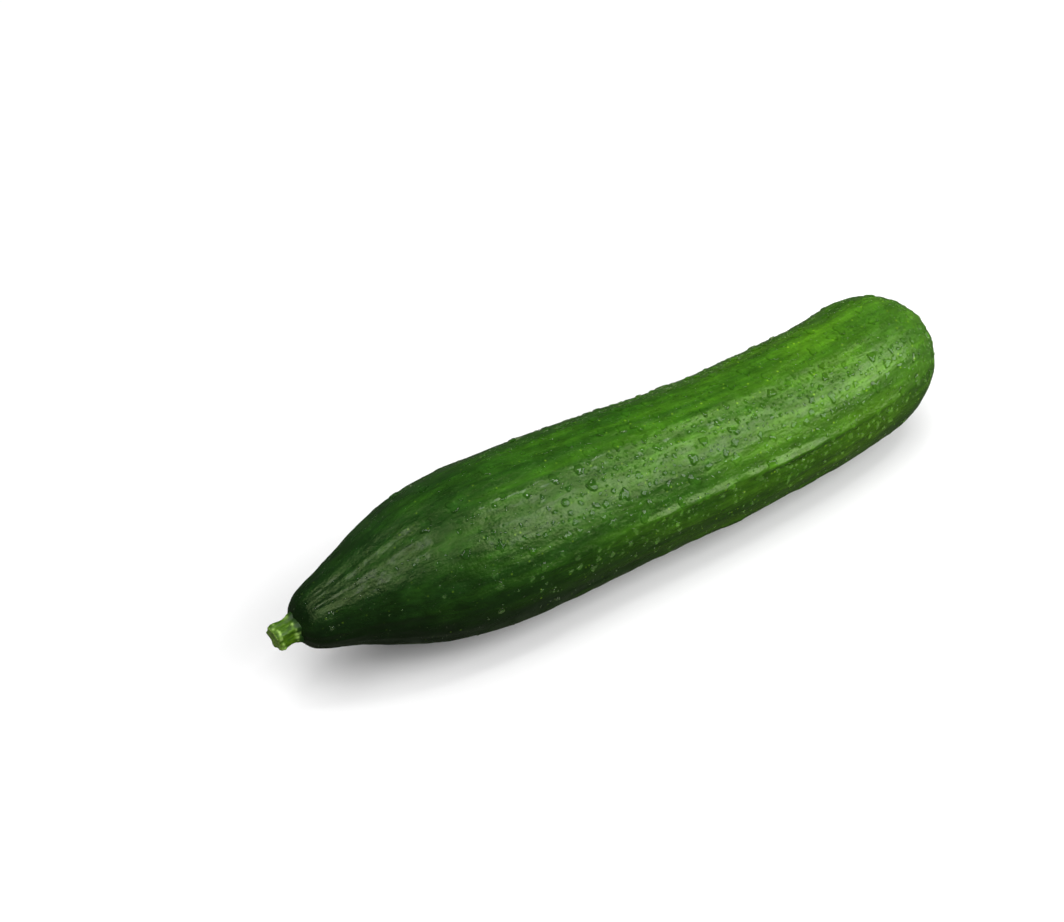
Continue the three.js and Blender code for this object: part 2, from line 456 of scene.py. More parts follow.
# %% Fruit skin
SOFTNESS = 0.03  # mm, how gently the pressed flat begins
RADIUS = np.repeat(mean_radius[:, None], COLUMNS, axis=1)
turned = bend(ROW_ALONG, THETA, RADIUS)
skin = turned + height[..., None] * grid_normals(turned)
skin[..., 2] = SOFTNESS * np.logaddexp(0, skin[..., 2] / SOFTNESS)
seat_point = bend(np.array([0.0]), np.array([0.0]), np.array([0.0]))[0]
tip_point = skin[-1].mean(axis=0)
fruit_skin = ringed_skin("fruit_skin", skin, seat_point, tip_point)
solid = BVHTree.FromObject(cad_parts["fruit"], bpy.context.evaluated_depsgraph_get())
gaps = [solid.find_nearest(Vector(p))[3] / MM for p in skin.reshape(-1, 3)[::97] * MM]
print("fruit", len(fruit_skin.data.polygons), "faces; from the solid by", round(float(np.mean(gaps)), 2),
      "mm on average and", round(max(gaps), 2), "at most")

# %% [markdown]
# ## What each point of the skin knows
#
# The blossom end is paler than the rest, because the flower sat there and kept the light off.
# Whitish rays of uneven width run out from the scar, and fade as they go. They could be a
# texture, but they are worked out for each point of the skin, where the mesh is fine enough to
# hold them, and kept with the mesh for the skin's material to read. So are the place of each
# point on the straightened fruit and its distance from the tip.

# %% Pale rays
RAYS = [  # angle in degrees, half width in degrees, reach in mm, strength
    (8, 5, 11, 0.9), (35, 7, 13, 1), (62, 4, 9, 0.7), (88, 8, 14, 1), (118, 6, 12, 0.9),
    (146, 4, 10, 0.6), (170, 6, 10, 0.8), (198, 4, 8, 0.5), (225, 6, 9, 0.6), (251, 4, 7, 0.5),
    (276, 5, 8, 0.6), (304, 4, 9, 0.7), (331, 6, 11, 0.8)]
rays = np.zeros_like(THETA)
wander = ripples(300, 12, 41, 20)
for angle, half_width, reach, strength in RAYS:
    away = np.degrees(np.abs(around_from(np.radians(angle + 2.5 * wander))))
    width = 0.7 * half_width * np.clip(1.25 - from_tip / (1.6 * reach), 0.2, 1)
    across = np.clip(1.5 - away / width, 0, 1) ** 1.3
    lengthwise = np.clip((from_tip - 1.8) / 1.2, 0, 1) * np.clip(1.1 - from_tip / reach, 0, 1)
    rays = np.maximum(rays, strength * across * lengthwise)
print(len(RAYS), "rays cover", round(float((rays > 0.2).mean()) * 100, 1), "percent of the points")


# %% Facts kept with the mesh
def keep_fact(piece, name, grid, start, end):
    """Stores a number or a vector for each point of a ringed skin, for a material to read."""
    size = np.size(start)
    rows_and_ends = [np.asarray(grid, float).reshape(-1, size), [np.atleast_1d(start)], [np.atleast_1d(end)]]
    fact = piece.data.attributes.new(name, "FLOAT_VECTOR" if size == 3 else "FLOAT", "POINT")
    values = np.concatenate(rows_and_ends).astype(np.float32)
    fact.data.foreach_set("vector" if size == 3 else "value", values.ravel())


straightened = np.stack([ROW_ALONG, RADIUS * np.cos(THETA), RADIUS * np.sin(THETA)], axis=-1)
keep_fact(fruit_skin, "straightened", straightened, [0, 0, 0], [FRUIT_LENGTH, 0, 0])
keep_fact(fruit_skin, "from_tip", np.broadcast_to(from_tip, THETA.shape), skin_way[-1], 0)
keep_fact(fruit_skin, "pale_rays", rays, 0, 0)
keep_fact(fruit_skin, "flower_scar", scar, 0, 1)
print("facts", [fact.name for fact in fruit_skin.data.attributes if fact.domain == "POINT"])

# %% [markdown]
# ## Where the water drops lie
#
# The cucumber has just been washed. On a waxy skin water stands in low drops with steep edges,
# from beads of a fifth of a millimetre to blots of three, and the bigger ones are lobed where
# small ones have run together. Most stay on the upper half and run off the steep sides. They
# could be copies of one drop, but no two real ones are alike, so each is made on its own. A
# drop's top is smooth and doesn't follow the fine relief under it, so a calm copy of the skin
# is kept for the tops, beside the real one for the feet.

# %% Calm surface
SMOOTHING_PASSES = 14
calm_height = height.copy()
for _ in range(SMOOTHING_PASSES):
    calm_height = (np.roll(calm_height, 1, axis=1) + calm_height + np.roll(calm_height, -1, axis=1)) / 3
    calm_height[1:-1] = (calm_height[:-2] + calm_height[1:-1] + calm_height[2:]) / 3
calm = turned + calm_height[..., None] * grid_normals(turned)
calm_normals = grid_normals(calm)
closed = [np.concatenate([g, g[:, :1]], axis=1) for g in (skin, calm, calm_normals)]  # joined up all round
skin_grid, calm_grid, normal_grid = closed
print("calm surface lies within", round(float(np.abs(calm_height - height).max()), 2), "mm of the skin")


# %% Reading a grid
def on_skin(grid, way, angle):
    """A grid's point or normal at a distance over the skin from the stem and an angle round it."""
    row = np.clip(np.interp(way, skin_way, np.arange(len(rows))), 0, len(rows) - 1.001)
    column = (angle % (2 * np.pi)) / (2 * np.pi) * COLUMNS
    i, j = row.astype(int), np.minimum(column.astype(int), COLUMNS - 1)
    v, u = (row - i)[..., None], (column - j)[..., None]
    near = grid[i, j] * (1 - u) + grid[i, j + 1] * u
    far = grid[i + 1, j] * (1 - u) + grid[i + 1, j + 1] * u
    return near * (1 - v) + far * v


# %% Chance of a drop
def chance(way, angle, girth, steep_share, neck_share, back_share):
    """How likely a drop is to stay at a place: less on the sides, at the neck and at the back."""
    at_neck = [neck_share, 0.3 + neck_share / 2]
    likely = np.interp(way, [30, 52, 75, 176, 192], [*at_neck, 1, 1, 0.3]) * girth / 19
    likely *= np.interp(math.sin(angle), [-0.75, -0.2, 0.25, 0.5], [0, steep_share, 0.6, 1])
    likely *= np.interp(angle, np.radians([100, 122, 200, 330]), [1, back_share, back_share, 1])
    return likely


# %% Scattering
def scatter(seed, wanted, smallest, largest, placed, steep_share, neck_share, back_share, room_between=0.1):
    """Places drops that don't touch. Each has a way, an angle and a radius in mm."""
    random = np.random.default_rng(seed)
    found = []
    for _ in range(wanted * 14):
        if len(found) == wanted:
            break
        way, angle = random.uniform(4, skin_way[-1] - 3), random.uniform(0, 2 * np.pi)
        size = smallest * (largest / smallest) ** (random.uniform() ** 1.5)
        girth = np.interp(way, skin_way, mean_radius)
        if random.uniform() > chance(way, angle, girth, steep_share, neck_share, back_share):
            continue
        if placed:
            other = np.array(placed)
            turn = (other[:, 1] - angle + np.pi) % (2 * np.pi) - np.pi
            gap = np.hypot(other[:, 0] - way, turn * girth) - (other[:, 2] + size) * 1.2
            if gap.min() < room_between:
                continue
        placed.append((way, angle, size))
        found.append((way, angle, size))
    return np.array(found)


placed = []
blots = scatter(101, 240, 0.72, 1.45, placed, steep_share=0.03, neck_share=0.0, back_share=0.15)
drops = scatter(102, 620, 0.4, 0.72, placed, steep_share=0.08, neck_share=0.03, back_share=0.2)
droplets = scatter(103, 1300, 0.2, 0.4, placed, steep_share=0.15, neck_share=0.25, back_share=0.5)
specks = scatter(104, 1500, 0.09, 0.2, placed, steep_share=0.4, neck_share=0.5, back_share=1.0,
                 room_between=0.05)
print("water:", len(blots), "blots,", len(drops), "drops,", len(droplets), "droplets,", len(specks), "specks")

# %% [markdown]
# ## The shape of a drop
#
# Each drop is its own closed cap. Its foot is fitted to the skin and lies just under it, so
# that no gap shows. Its top starts from the skin at the edge and rises steeply to a low dome,
# whose weight hangs a little towards its lower side. Metaballs would run together nicely but
# give uneven meshes, and a cap built ring by ring needs few faces and keeps its edge clean.

# %% Outline and directions of a drop
def drop_outlines(random, size, turn, lobing):
    """The radius of each drop at each turn, in mm: a circle with random lobes."""
    outline = np.ones((len(size), turn.shape[1]))
    for lobes in range(2, 7):
        depth = 2.6 * lobing * random.normal(0, 1, size.shape) / lobes ** 1.3
        outline += depth * np.cos(lobes * turn + random.uniform(0, 2 * np.pi, size.shape))
    return size * np.clip(outline, 0.4, 1.6)


def along_skin(low_end, high_end, normal):
    """The unit direction from one point to another, laid flat against the skin."""
    direction = high_end - low_end
    direction -= (direction * normal).sum(axis=-1, keepdims=True) * normal
    return direction / np.linalg.norm(direction, axis=-1, keepdims=True)


# %% Rings of a drop
def drop_layers(spots, outline, turn, rise, ring_shares):
    """Each drop's rings from the foot up, then its lowest and its highest point, in mm."""
    way, angle, size = spots[:, 0, None], spots[:, 1, None], spots[:, 2, None]
    girth = np.interp(way, skin_way, mean_radius)
    centre, normal = on_skin(calm_grid, way, angle), on_skin(normal_grid, way, angle)
    step = 1 / girth  # the angle of one millimetre round the fruit
    behind, before = on_skin(calm_grid, way - 1, angle), on_skin(calm_grid, way + 1, angle)
    under, over = on_skin(calm_grid, way, angle - step), on_skin(calm_grid, way, angle + step)
    ahead, around = along_skin(behind, before, normal), along_skin(under, over, normal)
    down_ahead, down_around = -ahead[..., 2], -around[..., 2]
    foot_depth = 0.1 + 0.04 * size
    layers = []
    for number, share in enumerate(ring_shares):
        u, v = share * outline * np.cos(turn), share * outline * np.sin(turn)
        sag = 1 + 0.35 * (down_ahead * u + down_around * v) / size
        lift = rise * np.clip(1 - share ** 4.6, 0, 1) ** 0.6 * sag
        base = on_skin(skin_grid, way + u, angle + v / girth)
        if number < 2:  # the foot
            lift = -foot_depth + 0 * u
        else:  # the water's own smooth surface, tied to the skin at its edge
            smooth = centre + u[..., None] * ahead + v[..., None] * around
            smooth -= (v ** 2 / (2 * girth))[..., None] * normal
            base += (1 - share ** 4) * (smooth - base)
        layers.append(base + lift[..., None] * normal)
    lowest = on_skin(skin_grid, way, angle) - foot_depth[..., None] * normal
    return np.concatenate([*layers, lowest, centre + rise[..., None] * normal], axis=1)


def drop_faces(corners, layers):
    """The faces of one drop: walls between its rings and a fan at each end."""
    lowest, highest = layers * corners, layers * corners + 1
    faces = []
    for corner in range(corners):
        after = (corner + 1) % corners
        for layer in range(layers - 1):
            a, b = layer * corners + corner, layer * corners + after
            faces.append((a, b, b + corners, a + corners))
        faces.append((lowest, after, corner))
        faces.append((highest, highest - 1 - corners + corner, highest - 1 - corners + after))
    return faces


# %% Many drops as one piece
def water_caps(name, spots, corners, rings, seed, lobing):
    """One mesh of closed drops. Each point knows how near it is to its drop's rim."""
    random = np.random.default_rng(seed)
    size = spots[:, 2, None]
    turn = np.linspace(0, 2 * np.pi, corners, endpoint=False)[None, :]
    outline = drop_outlines(random, size, turn, lobing)
    rise = size * np.clip(random.normal(0.36, 0.05, size.shape) - 0.08 * size, 0.16, 0.45)
    ring_shares = [0.5, 1.0, *np.sin(np.linspace(np.pi / 2, 0, rings + 1))[1:-1]]
    points = drop_layers(spots, outline, turn, rise, ring_shares)
    count, each = points.shape[:2]
    one_drop = drop_faces(corners, len(ring_shares))
    faces = [tuple(k + drop * each for k in face) for drop in range(count) for face in one_drop]
    piece = make_mesh(name, points.reshape(-1, 3) * MM, faces)
    shares = np.repeat([*ring_shares, 0, 0], [corners] * len(ring_shares) + [1, 1])
    rim = piece.data.attributes.new("rim", "FLOAT", "POINT")
    rim.data.foreach_set("value", np.tile(np.clip((shares - 0.74) / 0.16, 0, 1), count).astype(np.float32))
    print(name, count, "drops,", sum(len(f) - 2 for f in faces), "triangles")
    return piece


water_pieces = [
    water_caps("water_blots", blots, corners=44, rings=7, seed=201, lobing=0.22),
    water_caps("water_drops", drops, corners=26, rings=5, seed=202, lobing=0.17),
    water_caps("water_droplets", droplets, corners=14, rings=3, seed=203, lobing=0.08),
    water_caps("water_specks", specks, corners=9, rings=2, seed=204, lobing=0.0),
]

# %% [markdown]
# ## Skin that lies under a drop
#
# A drop gathers light on the skin beneath it, so on the real fruit the green looks as bright
# there as beside it. A render loses part of the light that bends through a drop. Tracing every
# bent ray would be slow and grainy. Each point of the skin is told instead whether water lies
# on it, and its green is made a little lighter there.

# %% Points under water
under_water = np.zeros_like(THETA)
for way, angle, size in np.concatenate([blots, drops, droplets]):
    first, last = np.searchsorted(skin_way, [way - 1.2 * size, way + 1.2 * size])
    part = slice(first, max(last, first + 1))
    away = np.hypot(skin_way[part, None] - way, around_from(angle)[part] * mean_radius[part, None])
    wet = np.clip(1.5 - away / size, 0, 1) * (size > 0.3)
    under_water[part] = np.maximum(under_water[part], wet)
keep_fact(fruit_skin, "under_water", under_water, 0, 0)
print("water covers", round(float((under_water > 0.5).mean()) * 100, 1), "percent of the points")

# %% [markdown]
# ## Water
#
# Water is clear, bends light with an index of 1.333 and mirrors two parts in a hundred of what
# meets it head on. Its shape does most of the rest, and each drop's rim is tinted olive as painted
# shade, for the dark edge that bent light gives a real drop. Lamp light has to reach the skin
# through the drop, which path tracing does badly, so rays towards lamps pass straight through.

# %% Material: clear water
clear_water, tree, surface = new_material("clear_water")
rim_fact = add_node(tree, "ShaderNodeAttribute", {"attribute_name": "rim"})
# painted shade: the clear water is tinted olive towards each drop's rim, for the dark edge that bent light
# gives a real drop
painted_rim_shade = add_node(tree, "ShaderNodeMix", {"data_type": "RGBA"}, _0=rim_fact.outputs["Fac"],
                      _6=linear("#ffffff"), _7=linear("#8c9c68"))  # dark rims, where the light bends away
water = add_node(tree, "ShaderNodeBsdfPrincipled", Base_Color=painted_rim_shade.outputs[2], Roughness=0.02,
                 IOR=1.333, Transmission_Weight=1.0)
passes = add_node(tree, "ShaderNodeBsdfTransparent")
ray_kind = add_node(tree, "ShaderNodeLightPath")
mixed = add_node(tree, "ShaderNodeMixShader", _0=ray_kind.outputs["Is Shadow Ray"], _1=water.outputs[0],
                 _2=passes.outputs[0])
tree.links.new(mixed.outputs[0], surface)
for piece in water_pieces:
    piece.data.materials.append(clear_water)
print("water on", len(water_pieces), "pieces")

# %% [markdown]
# ## The greens of the rind
#
# The skin is a tight waxy rind, grown and not made, and its colour lies under the wax. Its
# green is darkest and bluest at the neck, clear and yellower towards the blossom end, and runs
# in soft lengthwise streaks. A texture painted by hand could hold this, but noise on the
# straightened fruit follows the bend and has no seam. Its length is squeezed, so that each
# pattern is longer than it is wide.

# %% Material: waxy rind, its streaks
waxy_rind, tree, surface = new_material("waxy_rind")
place = add_node(tree, "ShaderNodeAttribute", {"attribute_name": "straightened"}).outputs["Vector"]
apart = add_node(tree, "ShaderNodeSeparateXYZ", Vector=place)
share = add_node(tree, "ShaderNodeMath", {"operation": "DIVIDE"}, _0=apart.outputs["X"], _1=FRUIT_LENGTH)
deep_green = add_node(tree, "ShaderNodeValToRGB", {"stops": [
    (0.0, linear("#10240e")), (0.12, linear("#152f10")), (0.3, linear("#1b3e0e")), (0.5, linear("#244d0e")),
    (0.8, linear("#305a10")), (0.9, linear("#315a14")), (1.0, linear("#3a661c"))]}, Fac=share.outputs[0])
light_green = add_node(tree, "ShaderNodeValToRGB", {"stops": [
    (0.0, linear("#1b3812")), (0.12, linear("#224611")), (0.3, linear("#325f10")), (0.5, linear("#467914")),
    (0.8, linear("#538716")), (0.9, linear("#4c7e1a")), (1.0, linear("#568622"))]}, Fac=share.outputs[0])


def stretched(by):
    """The straightened place with its length squeezed, so that a pattern runs lengthwise."""
    squeezed = add_node(tree, "ShaderNodeVectorMath", {"operation": "MULTIPLY"}, _0=place, _1=(by, 1, 1))
    return squeezed.outputs[0]


STREAK_WIDTH = 2.94  # mm, as on the fruit, and eleven times as long
streaks = add_node(tree, "ShaderNodeTexNoise", Vector=stretched(0.09), Scale=1 / STREAK_WIDTH, Detail=4.0,
                   Roughness=0.6)
streak_light = add_node(tree, "ShaderNodeMapRange", {"interpolation_type": "SMOOTHSTEP"},
                        Value=streaks.outputs[0], From_Min=0.32, From_Max=0.9, To_Min=0.0, To_Max=1.0)
greens = add_node(tree, "ShaderNodeMix", {"data_type": "RGBA"}, _0=streak_light.outputs[0],
                  _6=deep_green.outputs[0], _7=light_green.outputs[0])
print("streaks", STREAK_WIDTH, "mm wide")

# %% [markdown]
# ## Mottling, blotches and painted shade on the lower side
#
# Within the streaks the green is mottled at about a millimetre and blotched at about four. The
# lower side is painted in shade: below the middle line the green is made darker and duller
# than on top, most at the neck. Both only shade the green that is already there, so they
# multiply it.

# %% Material: waxy rind, its shades
MOTTLE_WIDTH = 1.25  # mm
BLOTCH_WIDTH = 4.1667  # mm
mottle = add_node(tree, "ShaderNodeTexNoise", Vector=stretched(0.3), Scale=1 / MOTTLE_WIDTH, Detail=5.0,
                  Roughness=0.62)
mottle_shade = add_node(tree, "ShaderNodeMapRange", Value=mottle.outputs[0], From_Min=0.3, From_Max=0.7,
                        To_Min=0.78, To_Max=1.22)
blotches = add_node(tree, "ShaderNodeTexNoise", Vector=stretched(0.7), Scale=1 / BLOTCH_WIDTH, Detail=3.0,
                    Roughness=0.55)
blotch_shade = add_node(tree, "ShaderNodeMapRange", Value=blotches.outputs[0], From_Min=0.3, From_Max=0.7,
                        To_Min=0.76, To_Max=1.22)
mottled = add_node(tree, "ShaderNodeMath", {"operation": "MULTIPLY"}, _0=mottle_shade.outputs[0],
                   _1=blotch_shade.outputs[0])
# painted shade for the lower side: a darker, duller multiplier, strongest at the neck
painted_shade_ramp = add_node(tree, "ShaderNodeValToRGB", {"stops": [
    (0.1, linear("#8e89b5")), (0.3, linear("#b19eda")), (0.5, linear("#ead1ff")),
    (0.68, linear("#ffecff")), (0.82, linear("#f3dfff")), (0.95, linear("#d1c5f3"))]}, Fac=share.outputs[0])
# painted shade grows from 12 mm above the middle line and is full at 8 mm below it
side = add_node(tree, "ShaderNodeMapRange", {"interpolation_type": "SMOOTHSTEP"}, Value=apart.outputs["Z"],
                From_Min=-8.0, From_Max=12.0)  # mm from the middle line
painted_shade_colour = add_node(tree, "ShaderNodeMix", {"data_type": "RGBA"}, _0=side.outputs[0],
                       _6=painted_shade_ramp.outputs[0], _7=linear("#ffffff"))
# the painted shade of the lower side, multiplied into the green
sided = add_node(tree, "ShaderNodeMix", {"data_type": "RGBA", "blend_type": "MULTIPLY"}, _0=1.0,
                 _6=greens.outputs[2], _7=painted_shade_colour.outputs[2])
shaded = add_node(tree, "ShaderNodeMix", {"data_type": "RGBA", "blend_type": "MULTIPLY"}, _0=1.0,
                  _6=sided.outputs[2], _7=mottled.outputs[0])
print("mottling", MOTTLE_WIDTH, "mm and blotches", round(BLOTCH_WIDTH, 1), "mm wide")

# %% [markdown]
# ## Pores
#
# Yellow-green specks are the pores that the fruit breathes by. They lie in loose groups, and
# show more clearly towards the blossom end. Real ones are about a quarter of a millimetre wide,
# which is too fine to show, so they are drawn about twice as coarse. Cells of random points
# give round dots at uneven distances, and a second random value leaves out about half of them.

# %% Material: waxy rind, its pores
PORE_SPACING = 1.613  # mm
PORE_GROUPS = 6.25  # mm
pores = add_node(tree, "ShaderNodeTexVoronoi", {"feature": "F1"}, Vector=place, Scale=1 / PORE_SPACING,
                 Randomness=1.0)
pore_dots = add_node(tree, "ShaderNodeMapRange", {"interpolation_type": "SMOOTHSTEP"},
                     Value=pores.outputs["Distance"], From_Min=0.09, From_Max=0.2, To_Min=1.0, To_Max=0.0)
pore_choice = add_node(tree, "ShaderNodeMath", {"operation": "GREATER_THAN"}, _0=pores.outputs["Color"],
                       _1=0.55)
pore_more = add_node(tree, "ShaderNodeMapRange", Value=share.outputs[0], From_Min=0.1, From_Max=0.7,
                     To_Min=0.1, To_Max=0.6)
pore_on = add_node(tree, "ShaderNodeMath", {"operation": "MULTIPLY"}, _0=pore_dots.outputs[0],
                   _1=pore_choice.outputs[0])
pore_groups = add_node(tree, "ShaderNodeTexNoise", Vector=stretched(0.5), Scale=1 / PORE_GROUPS, Detail=2.0)
pore_group = add_node(tree, "ShaderNodeMapRange", Value=pore_groups.outputs[0], From_Min=0.42,
                      From_Max=0.62, To_Min=0.15, To_Max=1.0)
pore_here = add_node(tree, "ShaderNodeMath", {"operation": "MULTIPLY"}, _0=pore_on.outputs[0],
                     _1=pore_group.outputs[0])
pore_fade = add_node(tree, "ShaderNodeMath", {"operation": "MULTIPLY"}, _0=pore_here.outputs[0],
                     _1=pore_more.outputs[0])
with_pores = add_node(tree, "ShaderNodeMix", {"data_type": "RGBA"}, _0=pore_fade.outputs[0],
                      _6=shaded.outputs[2], _7=linear("#9ccc34"))
print("pores every", PORE_SPACING, "mm, in groups of", PORE_GROUPS, "mm")

# %% [markdown]
# ## The blossom end
#
# Round the scar the rind is yellow-green, broken up lengthwise by fine lines, and over it run
# the pale rays. The scar itself is cream-coloured cork. Colour is laid over colour, each by a
# fact that the points of the skin already carry. Last, the skin under the drops is made
# lighter, as painted light for what the drops gather.

# %% Material: waxy rind, its blossom end
FINE_LINE_WIDTH = 0.625  # mm
CORK_GRAIN = 0.5556  # mm
PALE_REACH = 15.0  # mm from the tip
from_tip_fact = add_node(tree, "ShaderNodeAttribute", {"attribute_name": "from_tip"})
tip_ground = add_node(tree, "ShaderNodeMapRange", {"interpolation_type": "SMOOTHSTEP"},
                      Value=from_tip_fact.outputs["Fac"], From_Min=2.0, From_Max=PALE_REACH,
                      To_Min=0.95, To_Max=0.0)
fine_lines = add_node(tree, "ShaderNodeTexNoise", Vector=stretched(0.05), Scale=1 / FINE_LINE_WIDTH,
                      Detail=3.0, Roughness=0.6)
tip_break = add_node(tree, "ShaderNodeMapRange", Value=fine_lines.outputs[0], From_Min=0.3, From_Max=0.7,
                     To_Min=0.6, To_Max=1.15)
tip_amount = add_node(tree, "ShaderNodeMath", {"operation": "MULTIPLY", "use_clamp": True},
                      _0=tip_ground.outputs[0], _1=tip_break.outputs[0])
with_tip = add_node(tree, "ShaderNodeMix", {"data_type": "RGBA"}, _0=tip_amount.outputs[0],
                    _6=with_pores.outputs[2], _7=linear("#94bc28"))
ray_fact = add_node(tree, "ShaderNodeAttribute", {"attribute_name": "pale_rays"})
with_rays = add_node(tree, "ShaderNodeMix", {"data_type": "RGBA"}, _0=ray_fact.outputs["Fac"],
                     _6=with_tip.outputs[2], _7=linear("#d9e68e"))
scar_fact = add_node(tree, "ShaderNodeAttribute", {"attribute_name": "flower_scar"})
scar_cork = add_node(tree, "ShaderNodeTexNoise", Vector=place, Scale=1 / CORK_GRAIN, Detail=4.0)
scar_colour = add_node(tree, "ShaderNodeValToRGB", {"stops": [
    (0.35, linear("#c6c890")), (0.6, linear("#e6e8c0"))]}, Fac=scar_cork.outputs[0])
with_scar = add_node(tree, "ShaderNodeMix", {"data_type": "RGBA"}, _0=scar_fact.outputs["Fac"],
                     _6=with_rays.outputs[2], _7=scar_colour.outputs[0])
wet_fact = add_node(tree, "ShaderNodeAttribute", {"attribute_name": "under_water"})
# painted light: the green under each drop is made up to half again as bright, for the light that the drop
# gathers
painted_light_under_drops = add_node(tree, "ShaderNodeMapRange", Value=wet_fact.outputs["Fac"], To_Min=1.0, To_Max=1.5)
rind_colour = add_node(tree, "ShaderNodeMix", {"data_type": "RGBA", "blend_type": "MULTIPLY"}, _0=1.0,
                       _6=with_scar.outputs[2], _7=painted_light_under_drops.outputs[0])
print("blossom end pale for", PALE_REACH, "mm from the tip")

# %% [markdown]
# ## The sheen of the rind
#
# The wax, whose index is about 1.5, gives a soft sheen that takes some of the green under it.
# Over it lies a film of water, index 1.333, with a sharper sheen, which comes and goes in
# patches about two millimetres wide and leaves off where a drop stands. Fine wrinkles and the
# pebbly cells under the wax break both up. The film could be another mesh, but it is far
# thinner than anything that shows, so it is a coat on the rind's own material.

# %% Material: waxy rind, its sheen
WRINKLE_WIDTH = 0.7692  # mm
PEBBLE_WIDTH = 0.6667  # mm, coarser than the real cells, which are too fine to show
PATCH_WIDTH = 2.0  # mm
wrinkles = add_node(tree, "ShaderNodeTexNoise", Vector=stretched(0.4), Scale=1 / WRINKLE_WIDTH, Detail=5.0,
                    Roughness=0.65)
pebbles = add_node(tree, "ShaderNodeTexVoronoi", {"feature": "SMOOTH_F1"}, Vector=place,
                   Scale=1 / PEBBLE_WIDTH, Smoothness=0.6)
relief = add_node(tree, "ShaderNodeMath", {"operation": "MULTIPLY_ADD"}, _0=pebbles.outputs["Distance"],
                  _1=-0.35, _2=wrinkles.outputs[0])
fine_skin = add_node(tree, "ShaderNodeBump", Strength=0.6, Distance=0.32 * MM, Height=relief.outputs[0])
patches = add_node(tree, "ShaderNodeTexNoise", Vector=stretched(0.4), Scale=1 / PATCH_WIDTH, Detail=5.0,
                   Roughness=0.7)
rind_roughness = add_node(tree, "ShaderNodeMapRange", Value=patches.outputs[0], From_Min=0.3, From_Max=0.7,
                          To_Min=0.14, To_Max=0.32)
film = add_node(tree, "ShaderNodeMapRange", Value=patches.outputs[0], From_Min=0.45, From_Max=0.54,
                To_Min=0.4, To_Max=0.0)
dry = add_node(tree, "ShaderNodeMath", {"operation": "SUBTRACT"}, _0=1.0, _1=wet_fact.outputs["Fac"])
film_amount = add_node(tree, "ShaderNodeMath", {"operation": "MULTIPLY"}, _0=film.outputs[0],
                       _1=dry.outputs[0])
rind = add_node(tree, "ShaderNodeBsdfPrincipled", Base_Color=rind_colour.outputs[2],
                Roughness=rind_roughness.outputs[0], IOR=1.5, Specular_Tint=linear("#e2ffad"),
                Coat_Weight=film_amount.outputs[0], Coat_Roughness=0.06, Coat_IOR=1.333,
                Normal=fine_skin.outputs[0])
tree.links.new(rind.outputs[0], surface)
fruit_skin.data.materials.append(waxy_rind)
print("wrinkles", WRINKLE_WIDTH, "mm, pebbles", PEBBLE_WIDTH, "mm and wet patches", PATCH_WIDTH, "mm wide")

# %% [markdown]
# ## The stub of stem
#
# The stalk was snipped a few millimetres from the fruit. It is five-ridged and a little waisted,
# with beads of pale tissue round its foot and round the cut. It is lofted like the fruit, along
# a short line that droops a little, and its cut face is part of the same skin of points.

# %% Stem: outline
STEM_LENGTH = 4.8  # mm, like all lengths here
STEM_RADIUS = 2.75
CUT_RADIUS = 2.5
CUT_ROWS = 14
STEM_COLUMNS = 60
side_rows = spaced(-0.6, STEM_LENGTH - 0.3, 0.16, 0.16)
stem_outline = smooth_line([-0.6, 0.3, 1.2, 2.4, 3.6, STEM_LENGTH - 0.3], [3.3, 2.95, 2.65, 2.6, 2.75, 2.65])
stem_along = np.concatenate([side_rows, np.full(CUT_ROWS, STEM_LENGTH)])
cut_radii = CUT_RADIUS * np.sqrt(np.linspace(1, 0.002, CUT_ROWS))
stem_radius = np.concatenate([stem_outline(side_rows), cut_radii])
stem_theta = np.linspace(0, 2 * np.pi, STEM_COLUMNS, endpoint=False)
S_ALONG, S_THETA = np.meshgrid(stem_along, stem_theta, indexing="ij")
S_RADIUS = np.repeat(stem_radius[:, None], STEM_COLUMNS, axis=1)
print("stem", len(stem_along), "rows of", STEM_COLUMNS, "points")

# %% Stem: ridges and the slanted cut
on_cut = S_ALONG >= STEM_LENGTH
ridges = 0.26 * np.cos(5 * S_THETA + 0.7) + 0.07 * np.cos(10 * S_THETA + 0.12 * S_ALONG)
ridges += 0.05 * np.cos(17 * S_THETA + 1)
stem_out = S_RADIUS * (1 + ridges / STEM_RADIUS)
cut_sink = 0.3 * bell(S_RADIUS, 1.0) - 0.1 * np.cos(5 * S_THETA) * S_RADIUS / 2.6
slant = 0.1 * S_RADIUS * np.cos(S_THETA - 1.2)
stem_reach = S_ALONG + np.where(on_cut, slant - cut_sink, slant * np.clip(S_ALONG / STEM_LENGTH, 0, 1))
print("stem out to", round(float(stem_out.max()), 2), "mm")

# %% Stem: beads round the foot and the cut
BEAD_COUNT = 64
BEAD_RISE = 0.17  # mm
beads = np.zeros_like(S_THETA)
bead_places = np.random.default_rng(7)
for _ in range(BEAD_COUNT):
    ring = bead_places.choice([0.7, 4.0], p=[0.5, 0.5]) + bead_places.normal(0, 0.28)
    away = (S_THETA - bead_places.uniform(0, 2 * np.pi) + np.pi) % (2 * np.pi) - np.pi
    beads += bell(np.hypot(S_ALONG - ring, away * S_RADIUS), bead_places.uniform(0.17, 0.32))
beads = np.where(on_cut, 0, np.clip(beads, 0, 1.2))
stem_out = stem_out + BEAD_RISE * beads
print(BEAD_COUNT, "beads")

